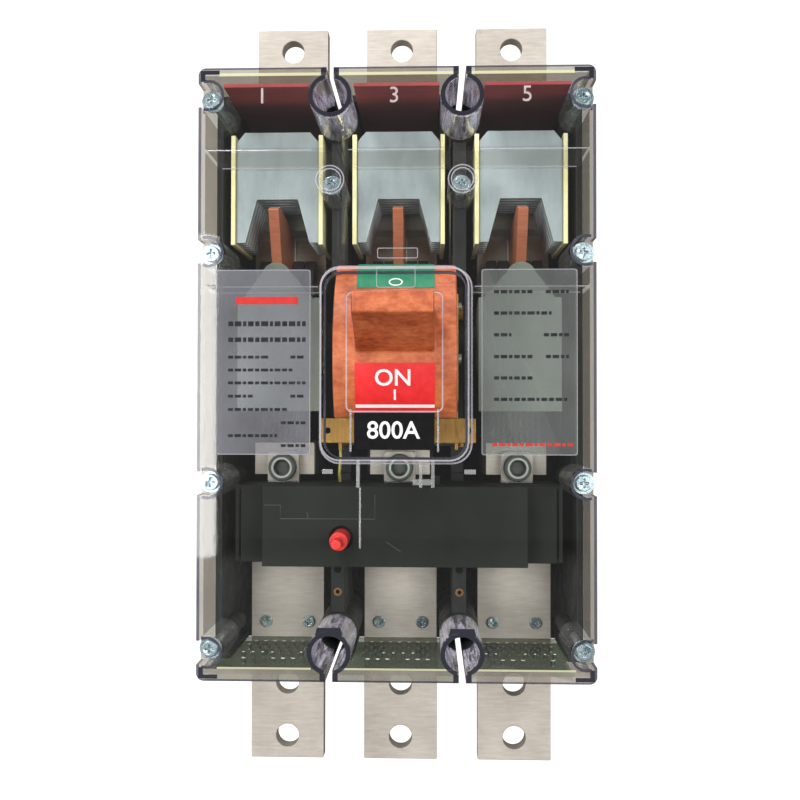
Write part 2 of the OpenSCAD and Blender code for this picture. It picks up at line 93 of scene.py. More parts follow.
def islands(node):
    """Box of each separate solid of a CAD node, in the plan frame, in reading order."""
    bm = bmesh.new()
    bm.from_mesh(frame["nodes"][node].data)
    bmesh.ops.remove_doubles(bm, verts=bm.verts, dist=1e-6)
    left = set(bm.verts)
    boxes = []
    while left:
        group, edge = set(), [left.pop()]
        while edge:
            vert = edge.pop()
            group.add(vert)
            near = {e.other_vert(vert) for e in vert.link_edges} & left
            left -= near
            edge.extend(near)
        points = [TO_PLAN @ v.co for v in group]
        boxes.append(tuple(Vector(f(p[i] for p in points) for i in range(3)) for f in (min, max)))
    bm.free()
    return sorted(boxes, key=lambda box: (round(box[0].x), round(box[0].y)))


# ---------------- mesh building

def around(sides, shift=0.0):
    """Angles of equal steps around a full turn."""
    return [2 * math.pi * (i + shift) / sides for i in range(sides)]


def skin(bm, rings, closed=False):
    """Walls between neighbouring rings of vertices. A ring of one vertex makes a tip."""
    following = rings[1:] + (rings[:1] if closed else [])
    for low, high in zip(rings, following):
        count = max(len(low), len(high))
        for i in range(count):
            j = (i + 1) % count
            corners = (low[i % len(low)], low[j % len(low)], high[j % len(high)], high[i % len(high)])
            bm.faces.new(list(dict.fromkeys(corners)))


def hollow_band(bm, levels):
    """Closed band from its four rings: foot and top of one wall, then foot and top of the other."""
    skin(bm, [levels[i] for i in (0, 1, 3, 2)], closed=True)


def block(bm, x, y, z):
    """Box between three pairs of limits."""
    corners = [bm.verts.new((x[i], y[j], z[k])) for i in (0, 1) for j in (0, 1) for k in (0, 1)]
    for side in ((0, 1, 3, 2), (4, 6, 7, 5), (0, 4, 5, 1), (2, 3, 7, 6), (0, 2, 6, 4), (1, 5, 7, 3)):
        bm.faces.new([corners[i] for i in side])


def prism(bm, outline, z0, z1, place=Matrix.Identity(4)):
    """A closed outline, drawn in x and y, raised from z0 to z1 and then put in place."""
    low = [bm.verts.new(place @ Vector((x, y, z0))) for x, y in outline]
    high = [bm.verts.new(place @ Vector((x, y, z1))) for x, y in outline]
    bm.faces.new(low[::-1])
    bm.faces.new(high)
    skin(bm, [low, high])


def lathe(bm, profile, place=Matrix.Identity(4), sides=32):
    """A profile of radius and height turned about z. A radius of 0 closes it on the axis."""
    rings = []
    for radius, height in profile:
        turn = around(sides) if radius else [0]
        rings.append([bm.verts.new(place @ Vector((radius * math.cos(a), radius * math.sin(a), height)))
                      for a in turn])
    skin(bm, rings)


def ring(bm, place, inner, outer, low, high, sides=32):
    """Flat ring with its hole."""
    lathe(bm, [(inner, low), (outer, low), (outer, high), (inner, high), (inner, low)], place, sides)


def holed_plate(bm, place, x, y, hole, low, high, sides=32):
    """Rectangular plate between limits in x and y, with a round hole at its origin."""
    levels = []
    for z in (low, high):
        inner, outer = [], []
        for a in around(sides, 0.5):
            across, up = math.cos(a), math.sin(a)
            reach = min((x[1] if across > 0 else -x[0]) / abs(across), (y[1] if up > 0 else -y[0]) / abs(up))
            inner.append(bm.verts.new(place @ Vector((hole * across, hole * up, z))))
            outer.append(bm.verts.new(place @ Vector((reach * across, reach * up, z))))
        levels += [inner, outer]
    hollow_band(bm, levels)


def wire_ring(bm, point, side, up, radius, sides):
    """Ring of vertices around one point of a round wire."""
    return [bm.verts.new(point + radius * (side * math.cos(a) + up * math.sin(a))) for a in around(sides)]


def tube(bm, points, radius, sides=8):
    """Round wire along a list of points, closed at both ends."""
    rings = []
    for i, point in enumerate(points):
        along = (points[min(i + 1, len(points) - 1)] - points[max(i - 1, 0)]).normalized()
        if i == 0:
            side = along.orthogonal().normalized()
        side = (side - along * side.dot(along)).normalized()
        rings.append(wire_ring(bm, point, side, along.cross(side), radius, sides))
    skin(bm, rings)
    bm.faces.new(rings[0][::-1])
    bm.faces.new(rings[-1])


def loop(bm, outline, z, radius, sides=6):
    """Round bead along a closed outline at one height."""
    points = [Vector((x, y, z)) for x, y in outline]
    up = Vector((0, 0, 1))
    rings = []
    for i, point in enumerate(points):
        along = (points[(i + 1) % len(points)] - points[i - 1]).normalized()
        rings.append(wire_ring(bm, point, along.cross(up), up, radius, sides))
    skin(bm, rings, closed=True)


def coil(bm, start, end, radius, wire, turns, steps=18):
    """Round wire spring between two points, with its last turns closed up."""
    along = end - start
    side = along.orthogonal().normalized()
    up = along.normalized().cross(side)
    points = []
    count = int(turns * steps)
    for i in range(count + 1):
        share = i / count
        angle = 2 * math.pi * turns * share
        height = share - 0.06 * math.sin(2 * math.pi * share)
        points.append(start + along * height + radius * (side * math.cos(angle) + up * math.sin(angle)))
    tube(bm, points, wire)


def arc(centre, radius, start, end, steps):
    """Points on a circle between two angles in degrees."""
    angles = [math.radians(start + (end - start) * i / steps) for i in range(steps + 1)]
    return [(centre[0] + radius * math.cos(a), centre[1] + radius * math.sin(a)) for a in angles]


def round_rectangle(x, y, radius, steps=6):
    """Outline of a rectangle with round corners."""
    turns = ((x[1], y[1], 0), (x[0], y[1], 90), (x[0], y[0], 180), (x[1], y[0], 270))
    outline = []
    for cx, cy, angle in turns:
        centre = (cx - math.copysign(radius, cx - sum(x) / 2), cy - math.copysign(radius, cy - sum(y) / 2))
        outline += arc(centre, radius, angle, angle + 90, steps)
    return outline


def at(x, y, z=0):
    """Place at a point of the plan frame."""
    return Matrix.Translation((x, y, z))


# ---------------- from mesh to piece

def added(name, data):
    """New object in the scene."""
    obj = bpy.data.objects.new(name, data)
    bpy.context.scene.collection.objects.link(obj)
    return obj


def piece(name, bm, materials, body, replaces=(), bevel=0, smooth=True):
    """Turns a plan frame mesh into an object that rides on a body. bevel is in millimetres."""
    bmesh.ops.recalc_face_normals(bm, faces=bm.faces)
    mesh = bpy.data.meshes.new(name)
    bm.transform(PLAN)
    for face in bm.faces:
        face.smooth = smooth
    for edge in bm.edges:
        edge.smooth = edge.calc_face_angle(0) < math.radians(SHARP_DEG)
    bm.to_mesh(mesh)
    bm.free()
    obj = added(name, mesh)
    for material in materials:
        mesh.materials.append(material)
    if bevel:
        round_edges(obj, bevel)
    if body:
        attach(obj, body)
    if replaces:
        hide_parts(*replaces)
    return obj


def round_edges(obj, width):
    """Rounds the sharp edges of a piece."""
    rounding = obj.modifiers.new("rounding", "BEVEL")
    rounding.width = width * MM
    rounding.segments = 2
    rounding.limit_method = "ANGLE"
    rounding.angle_limit = math.radians(SHARP_DEG)
    rounding.use_clamp_overlap = False
    rounding.harden_normals = True
    rounding.miter_outer = "MITER_ARC"


def clean_mesh(node):
    """The CAD node's mesh as an editable one with whole flat faces, in the plan frame."""
    bm = bmesh.new()
    bm.from_mesh(frame["nodes"][node].data)
    bmesh.ops.remove_doubles(bm, verts=bm.verts, dist=2e-6)
    bmesh.ops.dissolve_limit(bm, angle_limit=math.radians(1), verts=bm.verts, edges=bm.edges,
                             use_dissolve_boundaries=False, delimit=set())
    bm.transform(TO_PLAN)
    return bm


def evaluated_mesh(obj):
    """Editable mesh of an object with its modifiers applied."""
    bpy.context.view_layer.update()
    made = obj.evaluated_get(bpy.context.evaluated_depsgraph_get())
    bm = bmesh.new()
    bm.from_mesh(made.to_mesh())
    made.to_mesh_clear()
    return bm


def combined(first, second, operation):
    """UNION or DIFFERENCE of two closed meshes, which are used up."""
    pair = []
    for bm in (first, second):
        mesh = bpy.data.meshes.new("scratch")
        bmesh.ops.recalc_face_normals(bm, faces=bm.faces)
        bm.to_mesh(mesh)
        bm.free()
        pair.append(added("scratch", mesh))
    step = pair[0].modifiers.new("step", "BOOLEAN")
    step.operation = operation
    step.object = pair[1]
    step.solver = "MANIFOLD"
    result = evaluated_mesh(pair[0])
    for obj in pair:
        bpy.data.objects.remove(obj)
    bmesh.ops.remove_doubles(result, verts=result.verts, dist=1e-4)
    bmesh.ops.dissolve_limit(result, angle_limit=math.radians(1), verts=result.verts, edges=result.edges)
    return result


def refine(node, material, bevel, paint=None):
    """A finished version of a CAD node: the same shape with rounded edges and its real surface."""
    bm = clean_mesh(node)
    if paint:
        bm.normal_update()
        for face in bm.faces:
            face.material_index = paint(face.calc_center_median(), face.normal)
    materials = material if isinstance(material, (list, tuple)) else [material]
    return piece(node + "_finished", bm, materials, BODY_OF[node], [node], bevel)


def figures(text, size, place, material, body, name, thickness=0.3, bold=0.0):
    """Raised figures, size millimetres tall, centred on a place."""
    data = bpy.data.curves.new("scratch", "FONT")
    data.body = text
    data.size = size * 1.4
    data.extrude = thickness / 2
    data.offset = bold
    data.align_x = data.align_y = "CENTER"
    data.resolution_u = 4
    source = added("scratch", data)
    bm = evaluated_mesh(source)
    bpy.data.objects.remove(source)
    bmesh.ops.remove_doubles(bm, verts=bm.verts, dist=1e-3)
    bm.transform(place)
    return piece(name, bm, [material], body, smooth=False)


# ---------------- materials

def rgb(red, green, blue):
    """Linear colour of a screen colour from 0 to 255."""
    return tuple(((c / 255 + 0.055) / 1.055) ** 2.4 if c > 10 else c / 255 / 12.92
                 for c in (red, green, blue)) + (1.0,)


class Paint:
    """One material's node tree, with short calls for the nodes used here."""

    def __init__(self, name):
        self.material = bpy.data.materials.new(name)
        self.material.use_nodes = True
        self.tree = self.material.node_tree
        self.bsdf = self.tree.nodes["Principled BSDF"]
        self.place = self.node("ShaderNodeTexCoord").outputs["Object"]

    def put(self, socket, value):
        """Links a node's output to a socket, or sets the socket's plain value."""
        if isinstance(value, bpy.types.NodeSocket):
            self.tree.links.new(value, socket)
        else:
            socket.default_value = value

    def node(self, kind, inputs=(), **settings):
        """New node with its inputs and settings."""
        made = self.tree.nodes.new(kind)
        for key, value in settings.items():
            setattr(made, key, value)
        for key, value in dict(inputs).items():
            self.put(made.inputs[key], value)
        return made

    def noise(self, scale, detail=3.0, roughness=0.55, stretch=(1, 1, 1)):
        """Noise from 0 to 1 with scale waves in a metre."""
        where = self.node("ShaderNodeMapping", {"Vector": self.place, "Scale": stretch}).outputs[0]
        waves = {"Vector": where, "Scale": scale, "Detail": detail, "Roughness": roughness}
        return self.node("ShaderNodeTexNoise", waves).outputs["Fac"]

    def ramp(self, factor, *stops):
        """Colour or grey value along a factor. Each stop is a position and a colour or number."""
        made = self.node("ShaderNodeValToRGB", {"Fac": factor})
        steps = made.color_ramp.elements
        while len(steps) < len(stops):
            steps.new(0.5)
        for step, (position, value) in zip(steps, stops):
            step.position = position
            step.color = value if isinstance(value, tuple) else (value, value, value, 1)
        return made.outputs["Color"]

    def mix(self, factor, first, second):
        """Mix of two colours."""
        made = self.node("ShaderNodeMix", data_type="RGBA")
        self.put(made.inputs[0], factor)
        self.put(made.inputs[6], first)
        self.put(made.inputs[7], second)
        return made.outputs[2]

    def shaders(self, factor, first, second):
        """Mix of two shader nodes."""
        made = self.node("ShaderNodeMixShader", {"Fac": factor})
        self.tree.links.new(first.outputs[0], made.inputs[1])
        self.tree.links.new(second.outputs[0], made.inputs[2])
        return made

    def maths(self, operation, first, second):
        """One step of arithmetic."""
        made = self.node("ShaderNodeMath", operation=operation)
        self.put(made.inputs[0], first)
        self.put(made.inputs[1], second)
        return made.outputs[0]

    def bump(self, height, depth):
        """Surface relief with a depth in millimetres."""
        made = self.node("ShaderNodeBump", {"Height": height, "Strength": 1.0, "Distance": depth * MM})
        self.put(self.bsdf.inputs["Normal"], made.outputs[0])

    def done(self, **values):
        """Sets the surface's inputs and gives the finished material."""
        for key, value in values.items():
            self.put(self.bsdf.inputs[key.replace("_", " ")], value)
        return self.material


def worn_edge(name, colour, metallic):
    """Rubbed edge of a material, patchy along its length."""
    paint = Paint(name)
    shaded = tuple(0.72 * c for c in rgb(*colour)[:3]) + (1.0,)
    rubbed = paint.mix(paint.noise(130, 4.0, 0.7), rgb(*colour), shaded)
    paint.bump(paint.noise(700, 2.0), 0.01)
    return paint.done(Base_Color=rubbed, Roughness=0.38, Metallic=metallic)


def moulded(name, dark, light, roughness=(0.38, 0.6), grain=900, relief=0.03, blotch=28, shine=0.5):
    """Thermoset or nylon moulding: faint flow marks, dust and a fine grain."""
    paint = Paint(name)
    flow = paint.noise(blotch, 5.0, 0.62, (1, 1, 0.55))
    colour = paint.ramp(flow, (0.32, rgb(*dark)), (0.7, rgb(*light)))
    grit = paint.noise(grain, 2.0)
    rough = paint.ramp(paint.noise(blotch * 3, 4.0), (0.3, roughness[0]), (0.75, roughness[1]))
    paint.bump(grit, relief)
    return paint.done(Base_Color=colour, Roughness=rough, Specular_IOR_Level=shine)


def metal(name, dark, light, metallic=0.85, roughness=(0.25, 0.45), brush=(1, 1, 14), scale=90):
    """Plated or bare metal: brushed one way and blotchy from handling."""
    paint = Paint(name)
    stripes = paint.noise(scale, 4.0, 0.7, brush)
    clouds = paint.noise(22, 4.0, 0.6)
    tone = paint.maths("ADD", paint.maths("MULTIPLY", stripes, 0.45), paint.maths("MULTIPLY", clouds, 0.55))
    colour = paint.ramp(tone, (0.34, rgb(*dark)), (0.64, rgb(*light)))
    rough = paint.ramp(stripes, (0.3, roughness[0]), (0.75, roughness[1]))
    paint.bump(stripes, 0.02)
    return paint.done(Base_Color=colour, Roughness=rough, Metallic=metallic)


def handle_moulding():
    """Orange-brown thermoset with darker swirls and pale flow streaks."""
    paint = Paint("handle_moulding")
    swirl = paint.noise(70, 6.0, 0.7, (0.7, 1, 0.8))
    fleck = paint.noise(420, 4.0, 0.65, (0.5, 1, 1))
    tone = paint.maths("ADD", paint.maths("MULTIPLY", swirl, 0.6), paint.maths("MULTIPLY", fleck, 0.4))
    colour = paint.ramp(tone, (0.36, rgb(136, 64, 34)), (0.48, rgb(188, 92, 48)), (0.62, rgb(214, 124, 74)))
    paint.bump(paint.noise(500, 2.0), 0.02)
    rough = paint.ramp(swirl, (0.3, 0.34), (0.7, 0.5))
    return paint.done(Base_Color=colour, Roughness=rough)


def red_fibre():
    """Vulcanised fibre sheet, with a painted shadow that darkens its lower part below a soft slanting line.
    """
    paint = Paint("red_fibre")
    split = paint.node("ShaderNodeSeparateXYZ", {"Vector": paint.place})
    blur = paint.maths("MULTIPLY", paint.noise(60, 3.0), 0.012)
    slant = paint.maths("MULTIPLY", split.outputs["X"], 0.05)
    depth = paint.maths("ADD", paint.maths("ADD", split.outputs["Y"], blur), slant)
    # painted shadow: darker below a soft line that slants across the baffle, where its lower part lies in
    # shade
    painted_shadow = paint.node("ShaderNodeMapRange", {"Value": depth, "From Min": -0.113, "From Max": -0.100})
    fibres = paint.noise(420, 4.0, 0.7, (0.3, 1, 1))
    fibre_colour = paint.ramp(fibres, (0.3, rgb(136, 38, 42)), (0.7, rgb(164, 58, 60)))
    colour = paint.mix(painted_shadow.outputs[0], fibre_colour, rgb(86, 33, 36))
    paint.bump(fibres, 0.03)
    return paint.done(Base_Color=colour, Roughness=0.62)


def printed(name, colour, fade, roughness=0.35, shine=0.4):
    """Printed film label with slight ink unevenness."""
    paint = Paint(name)
    ink = paint.ramp(paint.noise(240, 4.0), (0.3, rgb(*colour)), (0.75, rgb(*fade)))
    paint.bump(paint.noise(1200, 1.0), 0.004)
    return paint.done(Base_Color=ink, Roughness=roughness, Specular_IOR_Level=shine)


def lamps_pass(paint, shader):
    """Ends a see-through material so that lamps light what lies behind it."""
    shadow_ray = paint.node("ShaderNodeLightPath").outputs["Is Shadow Ray"]
    last = paint.shaders(shadow_ray, shader, paint.node("ShaderNodeBsdfTransparent"))
    paint.tree.links.new(last.outputs[0], paint.tree.nodes["Material Output"].inputs["Surface"])
    return paint.material


def see_through(name, tint, body, mirror=(0.035, 0.5), haze=0.0, cloud=0.0):
    """Clear sheet: light goes straight on, less of it at a slant, and the surface mirrors.

    tint is the colour of what passes face on, at a slant and edge on, and of the milky part.
    body is the milky share, and mirror the reflection face on and edge on."""
    paint = Paint(name)
    paint.tree.nodes.remove(paint.bsdf)
    face_on, at_slant, edge_on, milk_colour = (rgb(*colour) for colour in tint)
    scratches = paint.noise(500, 3.0, 0.6, (1, 1, 0.2))
    bump = paint.node("ShaderNodeBump", {"Height": scratches, "Distance": 0.004 * MM}).outputs[0]
    slant = paint.node("ShaderNodeLayerWeight", {"Blend": 0.35}).outputs["Facing"]
    passed = paint.ramp(slant, (0.0, face_on), (0.75, at_slant), (1.0, edge_on))
    clear = paint.node("ShaderNodeBsdfTransparent", {"Color": passed})
    gloss = {"Color": (1, 1, 1, 1), "Roughness": 0.03 + haze, "Normal": bump}
    shine = paint.node("ShaderNodeBsdfGlossy", gloss)
    grazing = paint.node("ShaderNodeLayerWeight", {"Blend": 0.5}).outputs["Facing"]
    steep = paint.maths("POWER", grazing, 5.0)
    reflected = paint.maths("ADD", paint.maths("MULTIPLY", steep, mirror[1] - mirror[0]), mirror[0])
    milk = paint.node("ShaderNodeBsdfDiffuse", {"Color": milk_colour})
    milky = body
    if cloud:
        milky = paint.ramp(paint.noise(40, 4.0), (0.3, max(body - cloud, 0)), (0.7, body + cloud))
    return lamps_pass(paint, paint.shaders(reflected, paint.shaders(milky, clear, milk), shine))


def bending_glass(name, tint, streaks):
    """Thick clear moulding that bends what is seen through it, with pale painted streaks that stand for light
    bent in the thick wall.
    """
    paint = Paint(name)
    streak_pattern = paint.noise(420, 3.0, 0.6, (1, 0.1, 1))
    paint.bump(streak_pattern, 0.03)
    paint.done(Base_Color=rgb(*tint), Roughness=0.03, IOR=1.4, Transmission_Weight=1.0)
    # painted highlight: pale milky streaks for the light that the thick wall bends
    milk = paint.node("ShaderNodeBsdfDiffuse", {"Color": rgb(*streaks)})
    share = paint.ramp(streak_pattern, (0.46, 0.06), (0.66, 0.7))
    return lamps_pass(paint, paint.shaders(share, paint.bsdf, milk))


BLACK = moulded("base_moulding", (20, 22, 22), (38, 40, 40), (0.5, 0.75), shine=0.22)
TRIP = moulded("trip_moulding", (27, 29, 26), (38, 41, 37), (0.6, 0.8), grain=300, relief=0.008, blotch=18,
               shine=0.12)
# near-black discs that stand for the inside of holes: painted shade
SHADOW = moulded("hole_painted_shade", (6, 6, 7), (14, 14, 15), (0.8, 0.95), shine=0.05)
# light grey for the raised lines on the trip unit: painted highlight along its edges
EDGE_HIGHLIGHT = moulded("trip_edge_highlight", (70, 74, 72), (100, 104, 102), shine=0.2)
GREY = moulded("grey_moulding", (104, 110, 102), (136, 142, 132), relief=0.015, shine=0.25)
TINNED = metal("tinned_bar", (170, 161, 150), (204, 196, 185), metallic=0.16, roughness=(0.42, 0.6),
               brush=(1, 1, 9))
STEEL = metal("splitter_steel", (136, 147, 149), (162, 173, 175), metallic=0.25, scale=50,
              roughness=(0.36, 0.5), brush=(3, 1, 1))
BOARD = moulded("chute_board", (226, 218, 150), (244, 240, 196), (0.6, 0.8), grain=500, blotch=60)
FIBRE = red_fibre()
SILVER = metal("silver_contact", (186, 188, 186), (226, 226, 222), roughness=(0.3, 0.4))
COPPER = metal("copper", (186, 104, 70), (222, 142, 106), metallic=0.55, roughness=(0.35, 0.5))
TARNISHED = metal("tarnished_copper", (46, 48, 45), (84, 82, 76), metallic=0.3, roughness=(0.4, 0.55))
DARK_STEEL = metal("dark_steel", (70, 74, 76), (104, 108, 110), roughness=(0.35, 0.5))
OILED_STEEL = metal("oiled_steel", (44, 50, 46), (74, 80, 74), metallic=0.4, roughness=(0.4, 0.55))
HEAD_RIM = metal("screw_head_rim", (136, 138, 130), (186, 188, 180), metallic=0.5, roughness=(0.4, 0.55),
                 scale=200, brush=(1, 1, 1))
BRIGHT_STEEL = metal("bright_steel", (150, 154, 156), (200, 203, 204), roughness=(0.22, 0.36))
ZINC = metal("zinc_screw", (120, 142, 150), (196, 212, 216), roughness=(0.18, 0.34), brush=(1, 1, 1))
GOLD = metal("yellow_zinc", (140, 98, 36), (190, 148, 74), metallic=0.6, roughness=(0.28, 0.42),
             brush=(6, 1, 1))
HANDLE = handle_moulding()
BUTTON = moulded("red_plastic", (208, 36, 34), (232, 64, 58), (0.28, 0.4), relief=0.01)
RED = printed("red_label", (228, 42, 44), (240, 56, 58))
GREEN = printed("green_label", (14, 112, 80), (30, 132, 98))
BLACK_LABEL = printed("black_label", (10, 10, 12), (20, 20, 22), 0.6, 0.1)
WHITE_INK = printed("white_ink", (238, 238, 236), (250, 250, 250))
CLEAR = see_through(
    "clear_moulding", ((253, 254, 253), (250, 249, 247), (236, 234, 232), (190, 190, 186)),
    0.004, mirror=(0.03, 0.45))
WALL = see_through(
    "clear_wall", ((208, 204, 198), (194, 189, 182), (172, 166, 159), (146, 141, 134)),
    0.14, mirror=(0.02, 0.05), haze=0.1, cloud=0.05)
# darker copy of clear_wall for the right side wall: painted shade on that side of the cover
WALL_PAINTED_SHADE = see_through(
    "clear_wall_shade", ((176, 172, 166), (160, 155, 149), (132, 127, 122), (120, 116, 110)),
    0.16, (0.02, 0.05), haze=0.1, cloud=0.06)
RIB = see_through(
    "clear_rib", ((250, 250, 249), (244, 243, 241), (236, 234, 232), (206, 208, 206)),
    0.07, mirror=(0.02, 0.15))
# pale yellow line along the long top edges: painted highlight of light carried along the clear edge
LIP_HIGHLIGHT = see_through("clear_lip_highlight", ((238, 238, 206), (228, 226, 194), (190, 188, 156), (226, 224, 184)), 0.62)
# dark see-through material for the thick clear edges: painted shade where the edges show the dark base
EDGE_SHADE = see_through(
    "clear_edge", ((170, 170, 180), (150, 150, 162), (110, 110, 124), (84, 84, 98)), 0.46, cloud=0.3)
TUBE = bending_glass("clear_tube", (240, 240, 246), (206, 200, 214))
FROST = see_through(
    "frosted_film", ((214, 218, 216), (200, 204, 202), (170, 172, 170), (108, 114, 110)),
    0.13, haze=0.4, cloud=0.06)
FROST_PALE = see_through(
    "frosted_film_pale", ((212, 214, 220), (200, 202, 206), (170, 170, 174), (132, 132, 142)),
    0.2, haze=0.4, cloud=0.08)
VENTED = see_through(
    "vented_end", ((168, 174, 160), (158, 164, 150), (136, 142, 130), (84, 92, 78)),
    0.42, mirror=(0.02, 0.2), cloud=0.12)
# dark inner faces of the vents: painted shade in the holes
VENT_RIM = see_through("vent_rim", ((60, 66, 58), (50, 56, 48), (40, 44, 38), (26, 30, 26)), 0.85)
GLINT = see_through(
    "vent_glint", ((232, 240, 230), (222, 230, 220), (200, 206, 194), (206, 214, 202)), 0.6, cloud=0.3)
# whitish raised numbers: painted highlight on the clear figures
NUMERAL = see_through(
    "raised_number", ((240, 236, 236), (230, 226, 226), (200, 196, 196), (226, 214, 214)), 0.4)
# dark see-through material for the thick rims and corners: painted shade
DARK_RIM_SHADE = see_through(
    "dark_rim", ((120, 120, 130), (100, 100, 112), (80, 80, 92), (48, 48, 58)), 0.75, cloud=0.15)
RIM = see_through(
    "clear_rim", ((232, 230, 226), (222, 220, 216), (190, 188, 184), (168, 160, 150)), 0.45, cloud=0.2)
LEAD = moulded("yellow_lead", (150, 140, 60), (186, 176, 92), (0.4, 0.55))
BRASS = metal("brass_insert", (120, 76, 34), (170, 116, 60), metallic=0.7)
BRASS_EDGE = worn_edge("brass_insert_edge", (200, 150, 96), 0.7)
CLEAR_EDGE = see_through(
    "clear_trim", ((240, 240, 238), (226, 226, 222), (190, 190, 188), (196, 198, 198)), 0.3)
# whitish beads along clear edges: painted highlights
HIGHLIGHT_BEAD = see_through("clear_bead_highlight", ((250, 250, 252), (236, 236, 242), (200, 200, 210), (214, 212, 220)), 0.3)
RED_PRINT = printed("red_print", (186, 44, 42), (206, 58, 54), 0.6, 0.15)
PRINT = printed("print", (26, 27, 30), (48, 50, 54), 0.6, 0.15)


# ---------------- CAD nodes with rounded edges

REFINED = {
    "cover_screws": (ZINC, "zinc_screw", 0.4),
    "load_bar_screws": (ZINC, "zinc_screw", 0.3),
    "fixed_contacts": (SILVER, "silver_contact", 0.3),
    "crossbar": (BLACK, "base_moulding", 0.4),
    "connector_screws": (OILED_STEEL, "dark_steel", 0.6),
    "bimetals": (BRIGHT_STEEL, "bright_steel", 0.2),
    "trip_case": (TRIP, "trip_moulding", 0.5),
    "trip_cover": (TRIP, "trip_moulding", 0.6),
    "trip_bar": (BLACK, "base_moulding", 0.3),
    "trip_button": (BUTTON, "red_plastic", 0.5),
    "mechanism_frame": (GOLD, "yellow_zinc", 0.3),
    "mechanism_bridge": (GOLD, "yellow_zinc", 0.3),
    "mechanism_pins": (BRIGHT_STEEL, "bright_steel", 0.3),
    "cradle": (DARK_STEEL, "dark_steel", 0.3),
    "latch": (DARK_STEEL, "dark_steel", 0.3),
    "upper_links": (BRIGHT_STEEL, "bright_steel", 0.3),
    "knee_pin": (BRIGHT_STEEL, "bright_steel", 0.3),
    "lower_links": (BRIGHT_STEEL, "bright_steel", 0.3),
    "handle": (HANDLE, "handle_moulding", 1.0),
    "handle_yoke": (BRIGHT_STEEL, "bright_steel", 0.4),
    "on_label": (RED, "red_label", 0.1),
    "off_label": (GREEN, "green_label", 0.1),
    "rating_label": (BLACK_LABEL, "black_label", 0.1),
}
for pole in POLE_NAMES:
    REFINED["line_terminal_" + pole] = (TINNED, "tinned_bar", 0.6)
    REFINED["load_terminal_" + pole] = (TINNED, "tinned_bar", 0.6)
    REFINED["arc_plates_" + pole] = (STEEL, "splitter_steel", 0.3)
    REFINED["arc_boards_" + pole] = (BOARD, "chute_board", 0.3)
    REFINED["arc_baffle_" + pole] = (FIBRE, "red_fibre", 0.3)
    REFINED["heater_" + pole] = (BRIGHT_STEEL, "bright_steel", 0.3)
    REFINED["magnet_yoke_" + pole] = (DARK_STEEL, "dark_steel", 0.3)
    REFINED["armature_" + pole] = (DARK_STEEL, "dark_steel", 0.3)
for pole in ("left", "right"):
    REFINED["finger_cover_" + pole] = (GREY, "grey_moulding", 0.4)
for node, (material, slot, bevel) in REFINED.items():
    refine(node, material, bevel)
refine("info_plates", [FROST_PALE, FROST], 0.1, paint=lambda point, normal: int(point.x > 0))
for pole, pole_x in zip(POLE_NAMES, POLES):
    refine("contact_fingers_" + pole, [COPPER, TARNISHED], 0.4,
           paint=lambda point, normal: 0 if abs(point.x - pole_x) < 3.2 else 1)


# ---------------- base and clear cover

COVER_LOW, COVER_HIGH = plan_box("clear_cover")
COVER_TOP = plan_box("cover_wells")[1].z
SUNK = 0.02  # how deep trim sits in the surface under it
WALL_THICK = 3.0
DIVIDERS = (-35, 35)  # x of the walls between the poles
WELL_Y, WELL_R, WELL_WALL = 147, 9.0, 2.5
WELL_OPEN_DEG = 14  # half angle of the gap that the slot leaves in a well's rim
SLOT_RIM = (1.9, 4.8)  # from the middle of a slot
SIDE_COLUMN_X = 90  # cover screws beyond it stand in side columns
EDGE_LINE, SIDE_LINE = 1.0, 1.6  # width of the painted shade along the ends and the sides, where the thick clear edges look dark
# bands at the line end and the load end that carry the lip's painted highlight line
LINE_LIP = (157.6, 159.2)
LOAD_LIP = (154.6, 155.6)
LIP_END = 94.0
VENT_ROWS = (66.0, 74.0, 82.0, 91.5, 105.0)
VENT_PITCH = 5.6
VENT_TOP, VENT_REACH = 112, 24  # the part of each pole's load end that has vents
TALL_ROWS = 3  # rows with tall vents, from the mounting face
COVER_MATERIALS = {"clear": CLEAR, "wall": WALL, "rib": RIB, "lip": LIP_HIGHLIGHT, "edge_shade": EDGE_SHADE, "tube": TUBE,
                   "vented": VENTED, "vent_rim": VENT_RIM, "rim": RIM, "wall_painted_shade": WALL_PAINTED_SHADE}


def trim(name, bm, material, bevel=0):
    """Piece that is moulded on the clear cover."""
    piece(name, bm, [material], "root", bevel=bevel)


def on_side(centre):
    """Whether a cover screw stands in a side column."""
    return abs(centre.x) > SIDE_COLUMN_X


def base():
    """Black base with its mounting wells moulded in."""
    bm = combined(clean_mesh("base_housing"), clean_mesh("base_wells"), "UNION")
    piece("base_finished", bm, [BLACK], "root", ["base_housing", "base_wells"], 0.5)


def vent_places():
    """Row number and centre of every vent in the load end."""
    for pole_x in POLES:
        for row, height in enumerate(VENT_ROWS):
            for i in range(-3 - row % 2, 4):
                yield row, pole_x + VENT_PITCH * (i + (0.5 if row % 2 else 0)), height


def vent_cutters():
    """Pointed bars that cut the rows of vents in the load end of each pole."""
    bm = bmesh.new()
    for row, x, height in vent_places():
        half = 1.3 if row < TALL_ROWS else 0.8
        outline = [(-1.2, -half), (1.2, -half), (0.5, half), (-0.5, half)]
        place = at(x, COVER_LOW.y + WALL_THICK / 2, height) @ Matrix.Rotation(math.pi / 2, 4, "X")
        prism(bm, outline, -WALL_THICK, WALL_THICK, place)
    return bm


